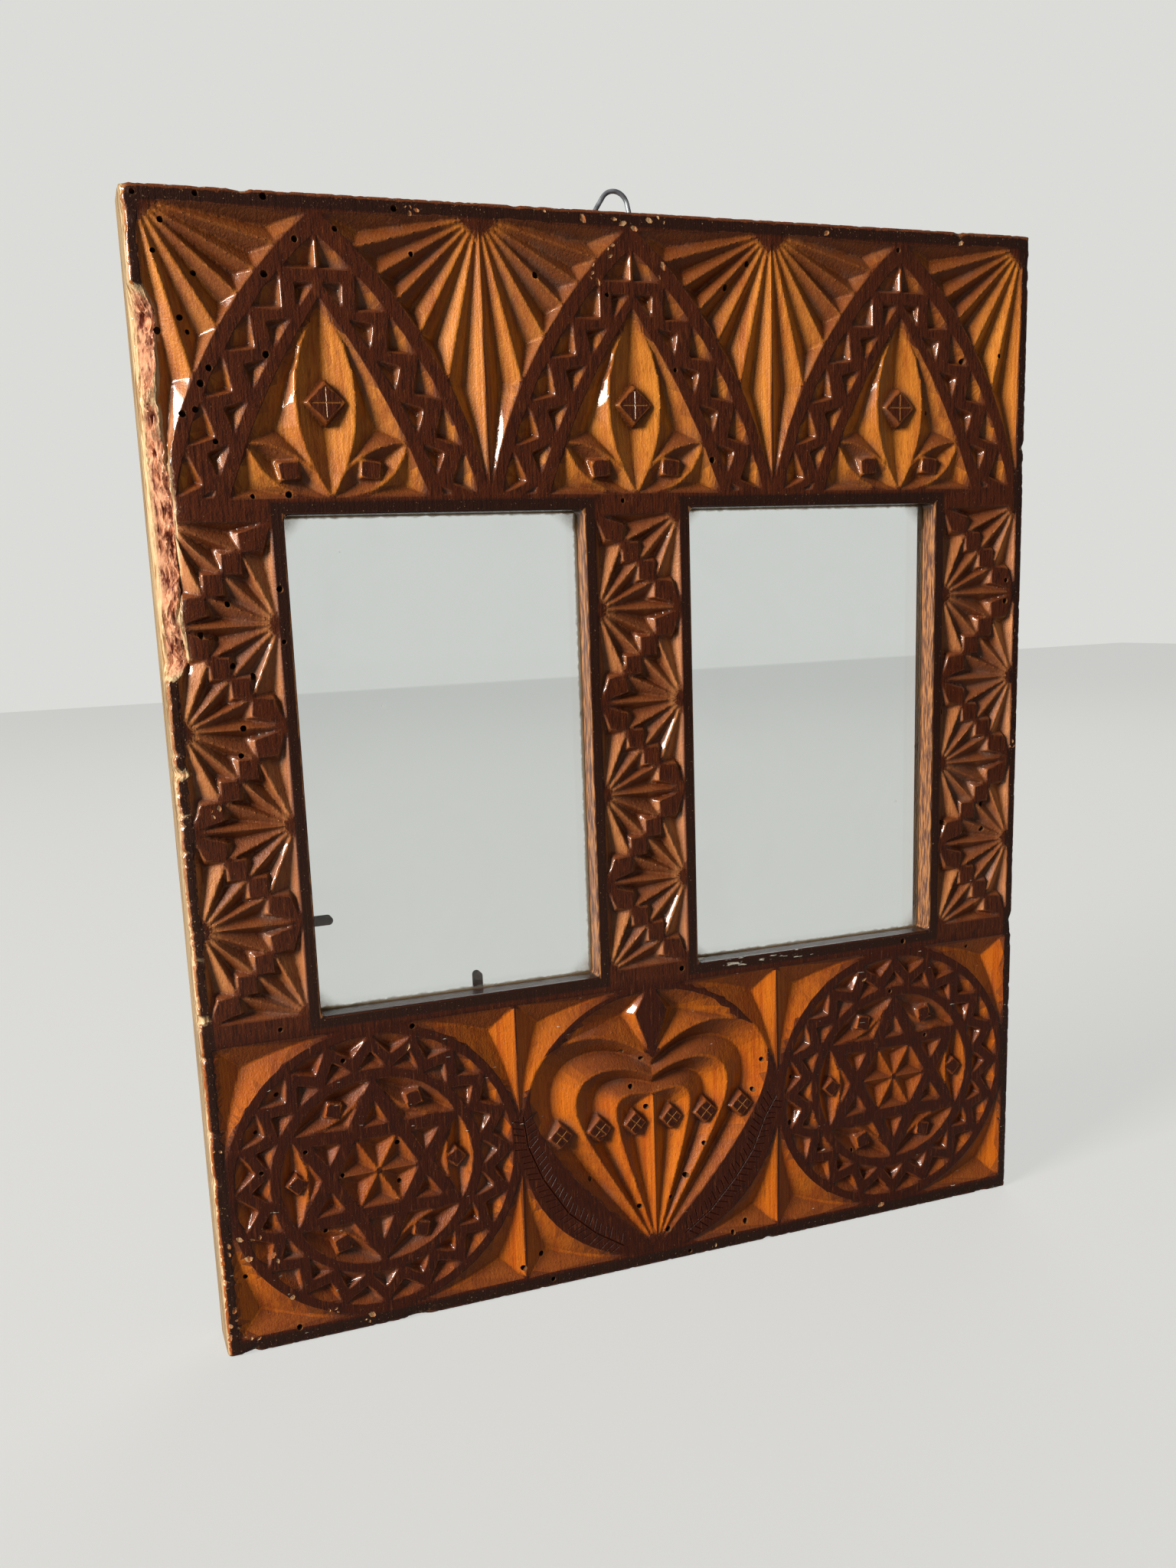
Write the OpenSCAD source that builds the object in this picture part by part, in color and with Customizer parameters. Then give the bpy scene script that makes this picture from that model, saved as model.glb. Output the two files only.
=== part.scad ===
// Chip-carved double picture frame. Millimetres, +Z up, the carved face looks along -Y.
// The origin is the middle of the foot of the plank.

/* [Plank] */
// Width of the plank, across the grain
plank_width = 258; // [255:1:280]
// Height of the plank, along the grain
plank_height = 300; // [299:1:320]
// Thickness of the plank
plank_thickness = 16; // [13:0.5:22]
// Width of the small slope that wear has left on the front edges
worn_edge = 0.8; // [0.3:0.1:1.5]

/* [Openings] */
// Width of each sight opening in the carved face
sight_width = 80.8; // [76:0.2:83]
// Height of each sight opening
sight_height = 130.8; // [120:0.2:131]
// Height of the lower edge of the openings above the foot
sight_foot = 93.2; // [93:0.1:96]
// Width of the plain and carved bar between the two openings
middle_bar = 31.6; // [30:0.2:36]
// Thickness of the lip that the glass rests against
lip = 6; // [4:0.5:8]
// Radius left by the knife in the corners of the openings
sight_corner = 1.5; // [0.5:0.5:3]

/* [Glass] */
// Width of a pane, cut for a postcard
glass_width = 89; // [86:0.5:91]
// Height of a pane
glass_height = 139.4; // [136:0.2:141]
// Thickness of the old glass
glass_thickness = 2; // [1.5:0.1:2.5]
// Gap between a pane and the wood round it
glass_gap = 0.5; // [0.3:0.1:0.8]

/* [Carving] */
// Side of the three square fields at the foot, and the width of each arch
field = 84; // [82:0.5:84.5]
// Plain margin under the square fields
foot_margin = 4.6; // [3:0.1:4.6]
// Height of the panel of arches
arch_height = 68.9; // [66:0.1:69]
// Plain margin above the panel of arches
head_margin = 3.3; // [3:0.1:5]
// Depth of the deepest cuts
cut_depth = 3.2; // [1.5:0.1:3.6]
// Teeth in the zigzag ring of a roundel
ring_teeth = 20; // [16:1:24]
// Stud chains in a stile, from one turning point to the next
stile_turns = 5; // [3:1:6]

/* [Fastenings] */
// Thickness of the cut nails that hold the panes
brad_thickness = 2.4; // [1.6:0.1:2.8]
// Depth that a cut nail is driven into the wall of the rebate
brad_bite = 6; // [4:0.5:8]
// Diameter of the wire of the hanging loop
wire = 1.3; // [1:0.1:1.8]
// Radius of the bend at the top of the hanging loop
loop_bend = 4; // [3:0.2:6]
// Height of the hanging loop above the plank
loop_rise = 10.2; // [8:0.2:13]
// Distance of the hanging loop from the middle of the plank, to the right
loop_aside = 2.8; // [0:0.2:6]
// Angle at which the left leg of the loop spreads
left_splay = 34; // [20:1:40]
// Angle at which the right leg spreads
right_splay = 14; // [5:1:30]
// Length of each leg below the bend
loop_leg = 24; // [20:0.5:28]
// Diameter of the wire of the staples over the loop
staple_wire = 1.2; // [0.9:0.1:1.5]

/* [Hidden] */
half = field / 2;
front = -plank_thickness / 2;
back = plank_thickness / 2;
rise = 0.5;
field_z = foot_margin + half;
arch_foot = plank_height - head_margin - arch_height;
sight_x = (middle_bar + sight_width) / 2;
sight_z = sight_foot + sight_height / 2;
rebate_width = glass_width + 2 * glass_gap;
rebate_height = glass_height + 2 * glass_gap;
glass_front = front + lip;
glass_back = glass_front + glass_thickness;
touch = 0.02;
brad_fit = 0.05;
brad_y = glass_back + touch + brad_thickness / 2;
rebate_side = rebate_width / 2;
rebate_foot = sight_z - rebate_height / 2;
loop_y = back + wire / 2 + touch;
bend_draw = 0.03; // how much thinner bending draws the wire
loop_z = plank_height + loop_rise - wire / 2 - loop_bend;
staple_r = staple_wire / 2;
staple_fit = 0.12;
staple_bite = 7;
staple_half = wire / 2 + staple_r + 0.1;
staple_down = loop_leg - 5;

// Plane geometry of the cuts

function mix(p, q, t) = p + (q - p) * t;
function turned(p, a) = [p[0] * cos(a) - p[1] * sin(a), p[0] * sin(a) + p[1] * cos(a)];
function polar(r, a) = [r * cos(a), r * sin(a)];
function backwards(list) = [for (i = [len(list) - 1:-1:0]) list[i]];
function mirrored(list) = [for (p = list) [-p[0], p[1]]];
function area(list) = let(n = len(list)) sum2([for (i = [0:n - 1]) list[i][0] * list[(i + 1) % n][1] - list[(i + 1) % n][0] * list[i][1]]);
function sum2(v, i = 0) = i < len(v) ? v[i] + sum2(v, i + 1) : 0;
function ccw(list) = area(list) > 0 ? list : backwards(list);

// A point of the circular arc from p to q that swells by s to the left of the way from p to q
function bow(p, q, s, t) =
    let(c = norm(q - p), d = (q - p) / c, side = [-d[1], d[0]] * sign(s))
    let(r = (c * c / 4 + s * s) / (2 * abs(s)), a = asin(c / (2 * r)) * (2 * t - 1))
    (p + q) / 2 - side * (r - abs(s)) + side * r * cos(a) + d * r * sin(a);
function bow_run(p, q, s, n, from = 0, to = 1) = [for (i = [0:n]) bow(p, q, s, from + (to - from) * i / n)];
function curve(a, b, c, d, t) = a * pow(1 - t, 3) + 3 * b * t * pow(1 - t, 2) + 3 * c * t * t * (1 - t) + d * t * t * t;

// Points go to a fine grid, so that neighbouring cuts share their crests exactly
function snap(p) = [for (v = p) round(v * 100) / 100];

// One knife cut with a single deepest point
module chip(outline, deep, depth) {
    rim = ccw([for (p = outline) snap(p)]);
    n = len(rim);
    points = concat([for (p = rim) [p[0], p[1], rise]], [for (p = rim) [p[0], p[1], 0]], [snap([deep[0], deep[1], -depth])]);
    walls = [for (i = [0:n - 1]) let(j = (i + 1) % n) each [[i, j, n + j, n + i], [n + i, n + j, 2 * n]]];
    polyhedron(points, concat([[for (i = [n - 1:-1:0]) i]], walls));
}

// A long cut with a valley: a and b are its two rims from the tip on, v the valley between them and d its depths.
// The points of the tail close the rim, and the last point of the valley meets them all.
module groove(tip, a, b, v, d, tail) {
    n = len(v);
    rim = [for (p = concat([tip], a, tail, backwards(b))) snap(p)];
    m = len(rim);
    low = [for (i = [0:n - 1]) snap([v[i][0], v[i][1], -d[i]])];
    points = concat([for (p = rim) [p[0], p[1], rise]], [for (p = rim) [p[0], p[1], 0]], low);
    k = 2 * m;
    lid = [for (i = [m - 1:-1:0]) i];
    walls = [for (i = [0:m - 1]) let(j = (i + 1) % m) [i, j, m + j, m + i]];
    start = [[m, m + 1, k], [k - 1, m, k]];
    end = [for (i = [n:n + len(tail)]) [m + i, m + i + 1, k + n - 1]];
    one = [for (i = [0:n - 2]) each [[m + i + 1, m + i + 2, k + i], [m + i + 2, k + i + 1, k + i]]];
    two = [for (i = [0:n - 2]) each [[k - 1 - i, k + i, k - 2 - i], [k - 2 - i, k + i, k + i + 1]]];
    faces = concat([lid], walls, start, end, one, two);
    polyhedron(points, area(rim) < 0 ? [for (f = faces) backwards(f)] : faces);
}

// The same where one rim is straight and only turns at a corner, or not at all when the corner is the tip itself
module bay(tip, a, v, d, tail, corner) {
    n = len(v);
    rim = [for (p = concat([tip], a, [tail], corner == tip ? [] : [corner])) snap(p)];
    m = len(rim);
    low = [for (i = [0:n - 1]) snap([v[i][0], v[i][1], -d[i]])];
    points = concat([for (p = rim) [p[0], p[1], rise]], [for (p = rim) [p[0], p[1], 0]], low);
    k = 2 * m;
    c = corner == tip ? m : k - 1;
    lid = [for (i = [m - 1:-1:0]) i];
    walls = [for (i = [0:m - 1]) let(j = (i + 1) % m) [i, j, m + j, m + i]];
    ends = concat([[m, m + 1, k], [m + n, m + n + 1, k + n - 1], [m + n + 1, c, k + n - 1]], corner == tip ? [] : [[c, m, k]]);
    one = [for (i = [0:n - 2]) each [[m + i + 1, m + i + 2, k + i], [m + i + 2, k + i + 1, k + i]]];
    two = [for (i = [0:n - 2]) [c, k + i, k + i + 1]];
    faces = concat([lid], walls, ends, one, two);
    polyhedron(points, area(rim) < 0 ? [for (f = faces) backwards(f)] : faces);
}

// A block of uncut wood with a flat top, kept inside a cut
module stud(outline, centre, slope = 0.5) {
    hull() {
        translate([0, 0, -4])
            linear_extrude(0.1)
                polygon([for (p = outline) p + (p - centre) / norm(p - centre) * 4 * slope]);
        linear_extrude(1)
            polygon(outline);
    }
}

function diamond(c, w, h, a = 0) = [for (p = [[w, 0], [0, h], [-w, 0], [0, -h]]) c + turned(p, a)];

// A leaf between two points, with an arc each side and its valley on the line between them
function leaf_steps(n) = [for (i = [1:n]) 0.5 - 0.5 * cos(180 * i / (n + 1))];
function leaf_rim(p, q, s, n) = [for (u = leaf_steps(n)) snap(bow(p, q, s, u))];
module leaf(p, q, left, right, depth, n) {
    a = leaf_rim(p, q, -right, n);
    b = leaf_rim(p, q, left, n);
    v = [for (i = [0:n - 1]) (a[i] + b[i]) / 2];
    d = [for (u = leaf_steps(n)) depth * pow(sin(180 * u), 0.7)];
    groove(p, a, b, v, d, [q]);
}

// Panel of arches, drawn for one arch about its own middle line

arch_tip = [0, arch_height - 0.4];
fan = [half, arch_height - 0.2];
fan_ends = [0.02, 0.155, 0.257, 0.346, 0.463, 0.627, 0.985];
band_tip = [0, arch_height - 6.1];
band_foot = [half - 3.2, 0.3];
zig_tip = [0.3, arch_height - 17.1];
zig_foot = [half - 12.5, 0.2];
bud_tip = [0, arch_height - 20.7];
bud_foot = [half - 16.4, 0.4];
bud_root = [0, 0.4];
bud_steps = 11;
bud_swell = 7.7;
root = [0.4, 0.4];

module fan_half() {
    reach = [31, 28.2, 26.8, 28.8, 32.4, 40.5];
    for (i = [0:5]) {
        steps = i == 5 ? 7 : 3;
        edge = bow_run(arch_tip, [half, 0], 6.9, steps, fan_ends[i], fan_ends[i + 1]);
        mid = atan2(fan[1] - edge[0][1], fan[0] - edge[0][0]) / 2 + atan2(fan[1] - edge[steps][1], fan[0] - edge[steps][0]) / 2;
        chip(concat([fan], edge), fan - polar(reach[i], mid), cut_depth * (i < 2 ? 0.85 : 1));
    }
}

module zigzag_half() {
    outer = [for (i = [0:6]) bow(band_tip, band_foot, 5.8, i / 6)];
    for (i = [0:5]) {
        p = outer[i];
        q = outer[i + 1];
        d = (q - p) / norm(q - p);
        m = (p + q) / 2;
        corner = i == 0 ? [0.4, q[1] + 0.4] : m + [-d[1], d[0]] * -5.8 + d * 0.9;
        gap = d * 0.35;
        deep = mix(corner, m, 0.3);
        chip([p + gap, corner, q - gap, bow(p, q, 0.45, 0.5)], deep, cut_depth * 0.75);
    }
    for (i = [0:4]) {
        p = bow(zig_tip, zig_foot, 2.4, (i * 11.3 + (i == 0 ? 0.6 : -0.5)) / 59);
        q = bow(zig_tip, zig_foot, 2.4, (i * 11.3 + 8.6) / 59);
        d = (q - p) / norm(q - p);
        m = (p + q) / 2;
        corner = i == 0 ? [q[0] + 0.4, p[1]] : m + [-d[1], d[0]] * 4.7;
        chip([p, q, corner], mix(corner, m, 0.32), cut_depth * 0.7);
    }
    p = bow(zig_tip, zig_foot, 2.4, 0.95);
    chip([p, p + [0.7, -2.3], p + [4.6, -2.4]], p + [1.5, -1.7], cut_depth * 0.3);
}

// The cuts on one side of the middle leaf: the tall one, the small leaf at the foot and the cut in the corner
module arch_inside_half() {
    outside = snap(bow(bud_tip, bud_foot, 2.1, 0.74));
    beside = leaf_rim(bud_tip, bud_root, bud_swell, bud_steps);
    meet = beside[8];
    over = [for (i = [1:3]) snap(bow(outside, meet, -1.9, i / 4))];
    upper = concat(over, [for (i = [8:10]) beside[i]]);
    lower = [for (u = [0.1, 0.3, 0.5, 0.7, 0.86, 0.96]) snap(bow(outside, root, 4.6, u))];
    valley = [for (i = [0:5]) mix(upper[i], lower[i], 0.5)];
    depths = [for (i = [0:5]) min(cut_depth * 0.8, norm(upper[i] - lower[i]) * 0.32)];
    centre = [10.4, 7];
    difference() {
        groove(outside, lower, upper, valley, depths, [root]);
        stud([for (a = [41, 139, 221, 319]) centre + polar(3, a - 6)], centre, 0.45);
    }
    line = bow_run(bud_tip, bud_foot, 2.1, 5, 0.06, 0.74);
    tall = [[2.6, 42.2], [6.2, 35.6], [9.1, 28.6], [11, 22], [12.9, 17.6]];
    deep = [for (u = [0.16, 0.42, 0.68, 0.88, 1]) cut_depth * 0.97 * u];
    tail = concat([outside], over, [meet]);
    groove(bud_tip, [for (i = [0:4]) line[i]], [for (i = [1, 3, 4, 5, 6]) beside[i]], tall, deep, concat(tail, [beside[7]]));
    chip(concat([bud_foot, outside], [for (i = [0:3]) lower[i]], [[5, 0.4]]), [20.2, 3], cut_depth * 0.66);
}

module arch() {
    for (s = [0, 1]) {
        mirror([s, 0, 0]) {
            fan_half();
            zigzag_half();
            arch_inside_half();
        }
    }
    centre = [0, arch_height - 45.6];
    difference() {
        leaf(bud_tip, bud_root, bud_swell, bud_swell, cut_depth, bud_steps);
        stud(diamond(centre, 4.7, 4.6), centre, 0.4);
    }
}

// Stiles: a chain of studs from side to side with a fan of cuts from each edge to it

module stile_run(width, height, start) {
    step = height / stile_turns;
    w = width * 0.5;
    function place(p, side, foot) = [side * (p[0] * 2 - 1) * w, foot + p[1] * step];
    for (k = [0:stile_turns - 1]) {
        side = k % 2 == 0 ? start : -start;
        foot = height - (k + 1) * step;
        joins = [[0, 0.985], [0.31, 0.7], [0.5, 0.5], [0.69, 0.3], [1, 0.015]];
        above = [[0.33, 0.89], [0.5, 0.7], [0.69, 0.5], [0.9, 0.28]];
        below = [[0.1, 0.72], [0.31, 0.5], [0.5, 0.3], [0.67, 0.11]];
        for (i = [0:3]) {
            for (u = [[[1, 1], above[i]], [[0, 0], below[i]]]) {
                c = place(u[0], side, foot);
                corner = place(u[1], side, foot);
                deep = corner + (c - corner) / norm(c - corner) * 1.9;
                chip([c, place(joins[i], side, foot), corner, place(joins[i + 1], side, foot)], deep, cut_depth * 0.8);
            }
        }
    }
}

// Square fields

module spandrels(n = 13) {
    r = half;
    s = half;
    angle = [for (i = [1:n]) 45 + (i - (n + 1) / 2) * 66 / n];
    spread = [for (a = angle) (s + r) / (1 + max(cos(a), sin(a)))];
    a = [for (t = angle) polar(r, 90 - t)];
    v = [for (i = [0:n - 1]) polar(spread[i], 90 - angle[i])];
    d = [for (g = spread) (g - r) * cut_depth * 0.135];
    for (x = [0, 1], y = [0, 1]) {
        mirror([x, 0, 0])
            mirror([0, y, 0])
                bay([5.6, s], a, v, d, [s, 5.6], [s, s]);
    }
}

// Zigzag ring, then a star of two crossed triangles with a leaf and a sliver between its points
module roundel() {
    spandrels();
    pitch = 360 / ring_teeth;
    for (k = [0:ring_teeth - 1]) {
        t = 90 + (k + 0.5) * pitch;
        w = pitch * 0.475;
        chip([polar(39.6, t - w), polar(39.8, t), polar(39.6, t + w), polar(34, t)], polar(35.5, t), cut_depth * 0.72);
        u = 90 + k * pitch;
        x = pitch * 0.45;
        chip([polar(30, u - x), polar(30, u), polar(30, u + x), polar(35, u)], polar(33.6, u), cut_depth * 0.68);
    }
    outside = 13.5;
    inside = 10.6;
    tip = 26.7;
    for (k = [0:5]) {
        a = 90 + 60 * k;
        w = (2 * inside - outside) / sqrt(3) * 0.85;
        chip([for (p = [[2 * inside, 0], [outside, w], [outside, -w]]) turned(p, a)], polar(outside + 2.2, a), cut_depth * 0.62);
        c = inside / cos(30) - 0.4;
        chip([[0, 0], polar(c, a - 30), polar(c, a + 30)], polar(inside * 0.64, a), cut_depth * 0.74);
        p = polar(tip, a + 58.6);
        q = polar(tip, a + 1.4);
        middle = polar(22.6, a + 30);
        difference() {
            leaf(p, q, 4.1, 4, cut_depth * 0.85, 7);
            stud(diamond(middle, 2.7, 2.7, a + 30), middle, 0.4);
        }
        notch = polar(outside / cos(30) + 0.2, a + 30);
        chip(concat([for (i = [1:5]) leaf_rim(p, q, -4, 7)[i]], [notch]), mix(notch, middle, 0.3), cut_depth * 0.4);
    }
}

function heart_side(top, lobe_a, lobe_b, wide, low_a, low_b, n) =
    concat([for (i = [1:n]) curve(top, lobe_a, lobe_b, wide, i / n)], [for (i = [1:n - 1]) curve(wide, low_a, low_b, [0, -40.6], i / n)]);
function heart_line(top, lobe_a, lobe_b, wide, low_a, low_b, n) =
    let(side = heart_side(top, lobe_a, lobe_b, wide, low_a, low_b, n))
    concat(backwards(mirrored(side)), [top], side);

module heart() {
    spandrels();
    n = 12;
    h0 = heart_line([0, 19.5], [14, 33], [38.9, 33], [38.9, 12.5], [38.9, 0], [22, -20], n);
    h1 = heart_line([0, 14.1], [9, 19.5], [24.8, 20.5], [24.8, 8.5], [24.8, 0], [12, -18], n);
    h2 = heart_line([0, 8.7], [5, 9.8], [12, 11], [12, 4.5], [12, -4], [5, -22], n);
    point = [0, -40.6];
    studs = [-29.6, -17.3, -5.9, 5.9, 17.3, 29.6];
    for (pair = [[h0, h1], [h1, h2]]) {
        a = pair[0];
        b = pair[1];
        v = [for (i = [0:len(a) - 1]) mix(a[i], b[i], 0.52)];
        d = [for (i = [0:len(a) - 1]) min(cut_depth, norm(a[i] - b[i]) * 0.3)];
        difference() {
            groove(point + [-0.2, -0.1], a, b, v, d, [point + [0.2, -0.1]]);
            for (x = studs) {
                stud(diamond([x, 0], 3.5, 3.5), [x, 0], 0.4);
            }
        }
    }
    for (s = [0, 1]) {
        mirror([s, 0, 0]) {
            // pocket beside the middle crest
            rim = [for (i = [1:2 * n - 1]) h2[len(h2) / 2 - 0.5 + i]];
            v = [for (i = [0:2 * n - 2]) i < n - 3 ? [5.6, 4.6 - i * 0.3] : [rim[i][0] * 0.5, min(4, rim[i][1])]];
            d = [for (i = [0:2 * n - 2]) min(cut_depth * 0.9, v[i][0] * 0.6)];
            difference() {
                bay([0, 8.7], rim, v, d, [0, -40.6], [0, 8.7]);
                stud(diamond([5.9, 0], 3.1, 3.4), [5.9, 0], 0.4);
            }
            // cut between the circle and a lobe, beside the tall stud in the cleft
            circle_line = [for (i = [0:5]) polar(half - 1.2, 88 - i * 9)];
            lobe = [for (i = [1:5]) h0[len(h0) / 2 - 0.5 + i]];
            chip(concat(backwards(circle_line), [[5.2, 34], [0.6, 21]], lobe), [8.2, 33.6], cut_depth * 0.9);
        }
    }
}

// Lays the plane of the cuts, drawn flat with its depth downwards, onto the face of the plank
module on_face() {
    translate([0, front, 0])
        rotate([90, 0, 0])
            children();
}

module all_cuts() {
    for (x = [-field, 0, field]) {
        translate([x, arch_foot, 0])
            arch();
    }
    for (x = [-field, field]) {
        translate([x, field_z, 0])
            roundel();
    }
    translate([0, field_z, 0])
        heart();
    tall = sight_height - 2.2;
    foot = sight_foot + 1.1;
    side_field = 1.5 * field - (sight_x + sight_width / 2 + 3.2);
    side_x = 1.5 * field - side_field / 2;
    translate([-side_x, foot, 0])
        stile_run(side_field, tall, -1);
    translate([0, foot, 0])
        stile_run(middle_bar - 6.4, tall, 1);
    translate([side_x, foot, 0])
        stile_run(side_field, tall, 1);
}

// The plank with its worn front edges
module plank() {
    hull() {
        translate([-plank_width / 2, front + worn_edge, 0])
            cube([plank_width, plank_thickness - worn_edge, plank_height]);
        translate([-plank_width / 2 + worn_edge, front, worn_edge])
            cube([plank_width - 2 * worn_edge, 1, plank_height - 2 * worn_edge]);
    }
}

module sight() {
    r = sight_corner;
    translate([0, front - 1, sight_z])
        rotate([-90, 0, 0])
            linear_extrude(plank_thickness + 2)
                hull() {
                    for (x = [-1, 1], z = [-1, 1]) {
                        translate([x * (sight_width / 2 - r), z * (sight_height / 2 - r)])
                            circle(r, $fn = 16);
                    }
                }
}

module rebate() {
    translate([-rebate_width / 2, glass_front, rebate_foot])
        cube([rebate_width, back - glass_front + 1, rebate_height]);
}

// Nails of the panes: where each stands, the way it points into the opening, and how far it reaches

module nail(reach, bite, fit = 0) {
    t = brad_thickness + 2 * fit;
    translate([-bite - fit, -t / 2, -t / 2])
        cube([bite + fit + reach - t / 2, t, t]);
    translate([reach - t / 2, t / 2, 0])
        rotate([90, 0, 0])
            cylinder(d = t, h = t, $fn = 24);
}

hidden_reach = 4;
side_reach = (rebate_width - sight_width) / 2 + 6.3;
bottom_reach = (rebate_height - sight_height) / 2 + 4.4;
side_brad_z = sight_foot + 24.4;
bottom_brad_x = -sight_x + 6.2;

module place_side() {
    translate([-sight_x - rebate_side, brad_y, side_brad_z])
        children();
}

module place_bottom() {
    translate([bottom_brad_x, brad_y, rebate_foot])
        rotate([0, -90, 0])
            children();
}

module left_hidden() {
    translate([-sight_x + 12, brad_y, rebate_foot + rebate_height])
        rotate([0, 90, 0])
            children();
    translate([-sight_x + rebate_side, brad_y, sight_z + 10])
        rotate([0, 180, 0])
            children();
}

module right_hidden() {
    for (s = [-1, 1]) {
        translate([sight_x + s * rebate_side, brad_y, sight_z - 8 * s])
            rotate([0, s < 0 ? 0 : 180, 0])
                children();
        translate([sight_x + 6 * s, brad_y, sight_z + s * rebate_height / 2])
            rotate([0, s < 0 ? -90 : 90, 0])
                children();
    }
}

// The foot of a leg of the loop is at the origin of its children, with the leg along +Z
module on_leg(side, down) {
    splay = side < 0 ? left_splay : right_splay;
    translate([loop_aside, loop_y, loop_z])
        rotate([0, -side * splay, 0])
            translate([side * loop_bend, 0, -down])
                children();
}

module staple_holes() {
    for (s = [-1, 1]) {
        on_leg(s, staple_down)
            for (t = [-1, 1]) {
                translate([t * staple_half, back - staple_bite - 0.2 - loop_y, 0])
                    rotate([-90, 0, 0])
                        cylinder(r = staple_r + staple_fit, h = staple_bite + 1, $fn = 12);
            }
    }
}

module carved_board() {
    color("#8a4b1c") {
        difference() {
            plank();
            for (s = [-1, 1]) {
                translate([s * sight_x, 0, 0]) {
                    sight();
                    rebate();
                }
            }
            on_face()
                all_cuts();
            place_side()
                nail(1, brad_bite, brad_fit);
            place_bottom()
                nail(1, brad_bite, brad_fit);
            left_hidden()
                nail(1, brad_bite, brad_fit);
            right_hidden()
                nail(1, brad_bite, brad_fit);
            staple_holes();
        }
    }
}

module pane() {
    translate([-glass_width / 2, glass_front + touch, sight_z - glass_height / 2])
        cube([glass_width, glass_thickness - touch, glass_height]);
}

module left_glass() {
    color("#dfe6e4")
        translate([-sight_x, 0, 0])
            pane();
}

module right_glass() {
    color("#dfe6e4")
        translate([sight_x, 0, 0])
            pane();
}

module side_brad() {
    color("#2b2522")
        place_side()
            nail(side_reach, brad_bite - 0.2);
}

module bottom_brad() {
    color("#2b2522")
        place_bottom()
            nail(bottom_reach, brad_bite - 0.2);
}

module left_hidden_brads() {
    color("#2b2522")
        left_hidden()
            nail(hidden_reach, brad_bite - 0.2);
}

module right_hidden_brads() {
    color("#2b2522")
        right_hidden()
            nail(hidden_reach, brad_bite - 0.2);
}

module hanger_loop() {
    color("#7c7f82") {
        translate([loop_aside, loop_y, loop_z])
            rotate([90, 0, 0])
                rotate([0, 0, right_splay])
                    rotate_extrude(angle = 180 - left_splay - right_splay, $fn = 64)
                        translate([loop_bend, 0])
                            circle(d = wire - bend_draw, $fn = 24);
        for (s = [-1, 1]) {
            on_leg(s, loop_leg)
                cylinder(d = wire, h = loop_leg + touch, $fn = 24);
        }
    }
}

module hanger_staples() {
    color("#6f6a64") {
        for (s = [-1, 1]) {
            on_leg(s, staple_down) {
                rotate_extrude(angle = 180, $fn = 48)
                    translate([staple_half, 0])
                        circle(r = staple_r, $fn = 24);
                for (t = [-1, 1]) {
                    translate([t * staple_half, back - staple_bite - loop_y, 0])
                        rotate([-90, 0, 0])
                            cylinder(r = staple_r, h = staple_bite + wire / 2 + touch, $fn = 24);
                }
            }
        }
    }
}

carved_board();
left_glass();
right_glass();
side_brad();
bottom_brad();
left_hidden_brads();
right_hidden_brads();
hanger_loop();
hanger_staples();
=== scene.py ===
import bmesh
import bpy
import math
import random
import numpy as np
from mathutils import Euler, Matrix, Vector, kdtree, noise


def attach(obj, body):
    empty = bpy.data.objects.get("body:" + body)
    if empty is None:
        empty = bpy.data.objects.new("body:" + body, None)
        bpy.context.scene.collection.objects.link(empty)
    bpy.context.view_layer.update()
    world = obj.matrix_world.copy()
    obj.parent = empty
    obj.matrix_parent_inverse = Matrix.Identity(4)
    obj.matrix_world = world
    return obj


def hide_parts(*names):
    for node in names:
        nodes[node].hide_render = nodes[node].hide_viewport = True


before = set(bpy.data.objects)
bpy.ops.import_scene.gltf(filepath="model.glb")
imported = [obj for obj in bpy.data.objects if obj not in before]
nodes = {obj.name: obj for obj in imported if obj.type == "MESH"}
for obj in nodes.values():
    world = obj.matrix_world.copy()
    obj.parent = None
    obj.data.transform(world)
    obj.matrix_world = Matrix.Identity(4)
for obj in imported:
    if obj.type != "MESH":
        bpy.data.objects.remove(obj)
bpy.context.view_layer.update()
mm = 0.001


def hexColour(code):
    channels = [int(code[i:i + 2], 16) / 255 for i in (1, 3, 5)]
    return [c / 12.92 if c <= 0.04045 else ((c + 0.055) / 1.055) ** 2.4 for c in channels] + [1.0]


def addNode(tree, kind, inputs=None, output=0, **settings):
    # inputs may be numbers, hex colours or the outputs of other nodes
    node = tree.nodes.new("ShaderNode" + kind)
    for name, value in settings.items():
        setattr(node, name, value)
    for name, value in (inputs or {}).items():
        if isinstance(value, bpy.types.NodeSocket):
            tree.links.new(value, node.inputs[name])
        else:
            node.inputs[name].default_value = hexColour(value) if isinstance(value, str) else value
    return node.outputs[output]


def newMaterial(name):
    material = bpy.data.materials.new(name)
    material.use_nodes = True
    tree = material.node_tree
    return material, tree, tree.nodes["Principled BSDF"]


def addSteps(tree, value, steps):
    # a step has a name, an operation and two numbers or earlier steps. A RANGE rises from 0 to 1 between two numbers
    for name, operation, first, second in steps:
        first = value.get(first, first)
        if operation == "RANGE":
            value[name] = addNode(tree, "MapRange", {"Value": first, "From Min": second[0], "From Max": second[1]})
        else:
            value[name] = addNode(tree, "Math", {0: first, 1: value.get(second, second)}, operation=operation)


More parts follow.
